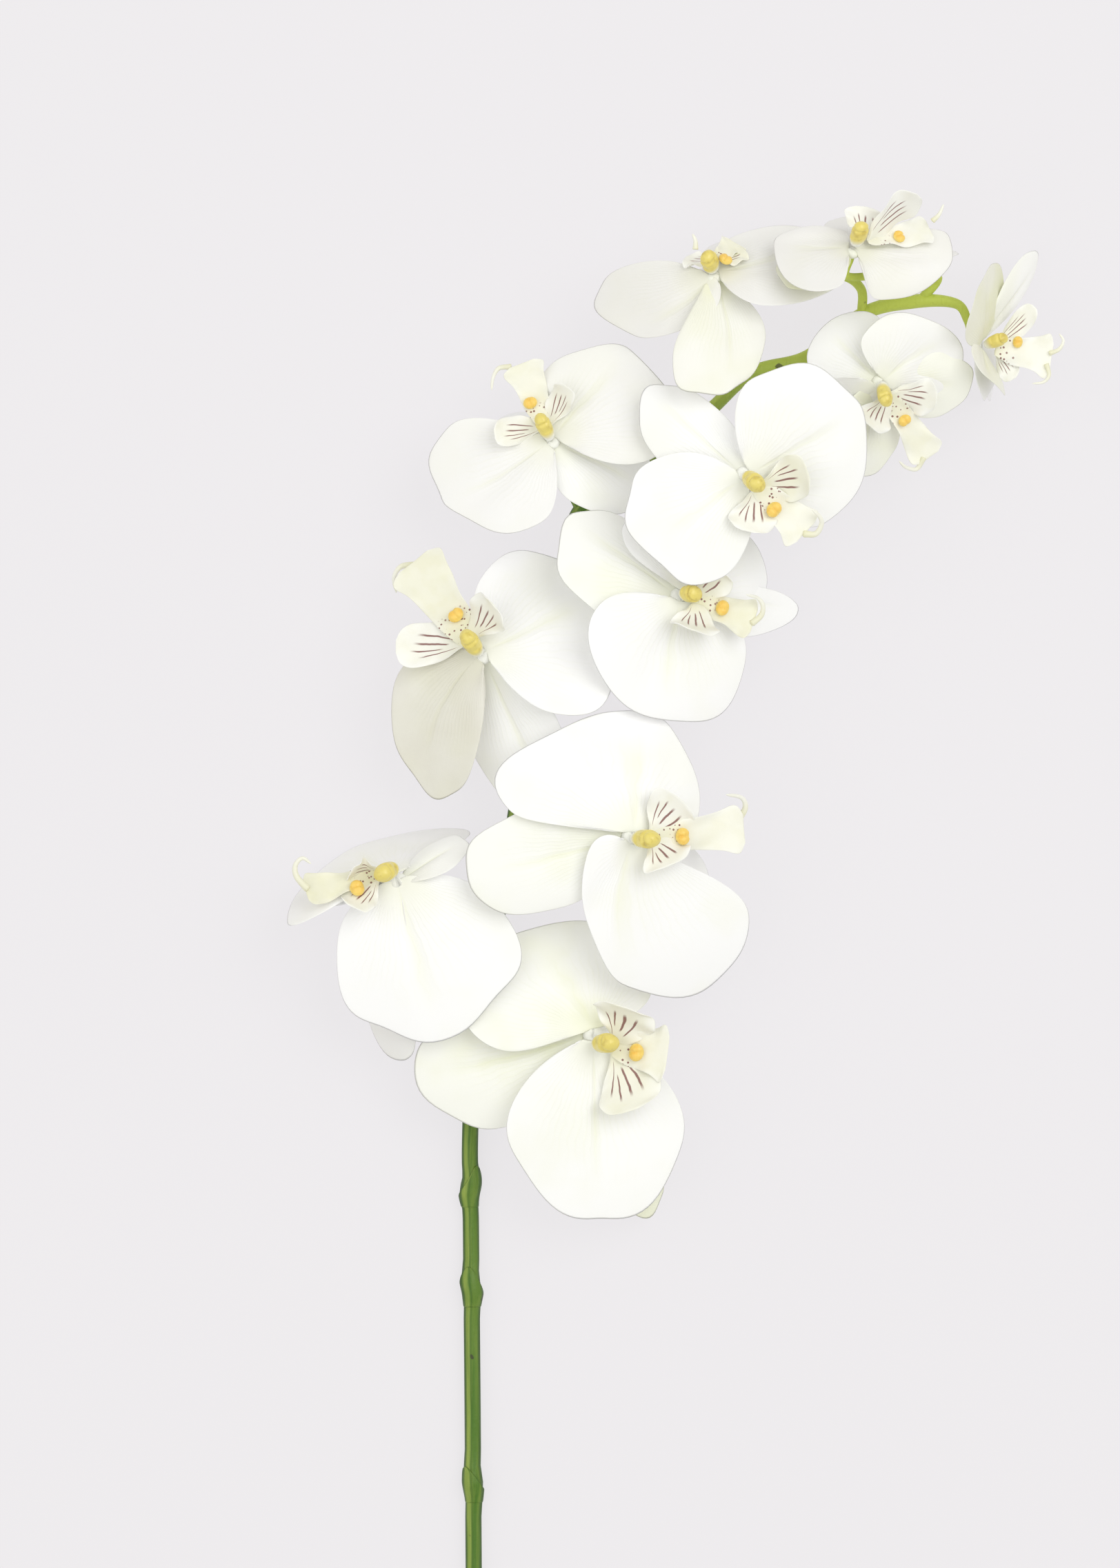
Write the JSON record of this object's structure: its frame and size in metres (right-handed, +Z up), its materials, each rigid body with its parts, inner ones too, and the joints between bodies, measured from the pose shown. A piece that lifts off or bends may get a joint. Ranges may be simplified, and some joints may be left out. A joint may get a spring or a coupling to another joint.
{
  "type": "moth orchid flower spray",
  "caption": "Cut spray of white moth orchid blossoms on an arching green stem that lies on its back, each with broad petals, a cream lip and an orange callus",
  "frame": {"origin": "middle of the spray in plan, on the surface that it lies on", "axes": "+Y runs from the cut end of the stem to the tip of the spray, +Z is up, away from the surface, and +X is to the right seen from above"},
  "size_m": [0.2727, 0.5599, 0.0828],
  "materials": {
    "petal": "satin",
    "lip": "satin",
    "column": "gloss",
    "callus": "satin",
    "stem": "satin"
  },
  "bodies": {
    "root": {"stem": "stem", "bloom_01_tepals": "petal", "bloom_01_lip": "lip", "bloom_01_column": "column", "bloom_01_callus": "callus", "bloom_02_tepals": "petal", "bloom_02_lip": "lip", "bloom_02_column": "column", "bloom_02_callus": "callus", "bloom_03_tepals": "petal", "bloom_03_lip": "lip", "bloom_03_column": "column", "bloom_03_callus": "callus", "bloom_04_tepals": "petal", "bloom_04_lip": "lip", "bloom_04_column": "column", "bloom_04_callus": "callus", "bloom_05_tepals": "petal", "bloom_05_lip": "lip", "bloom_05_column": "column", "bloom_05_callus": "callus", "bloom_06_tepals": "petal", "bloom_06_lip": "lip", "bloom_06_column": "column", "bloom_06_callus": "callus", "bloom_07_tepals": "petal", "bloom_07_lip": "lip", "bloom_07_column": "column", "bloom_07_callus": "callus", "bloom_08_tepals": "petal", "bloom_08_lip": "lip", "bloom_08_column": "column", "bloom_08_callus": "callus", "bloom_09_tepals": "petal", "bloom_09_lip": "lip", "bloom_09_column": "column", "bloom_09_callus": "callus", "bloom_10_tepals": "petal", "bloom_10_lip": "lip", "bloom_10_column": "column", "bloom_10_callus": "callus", "bloom_11_tepals": "petal", "bloom_11_lip": "lip", "bloom_11_column": "column", "bloom_11_callus": "callus"}
  },
  "joints": []
}
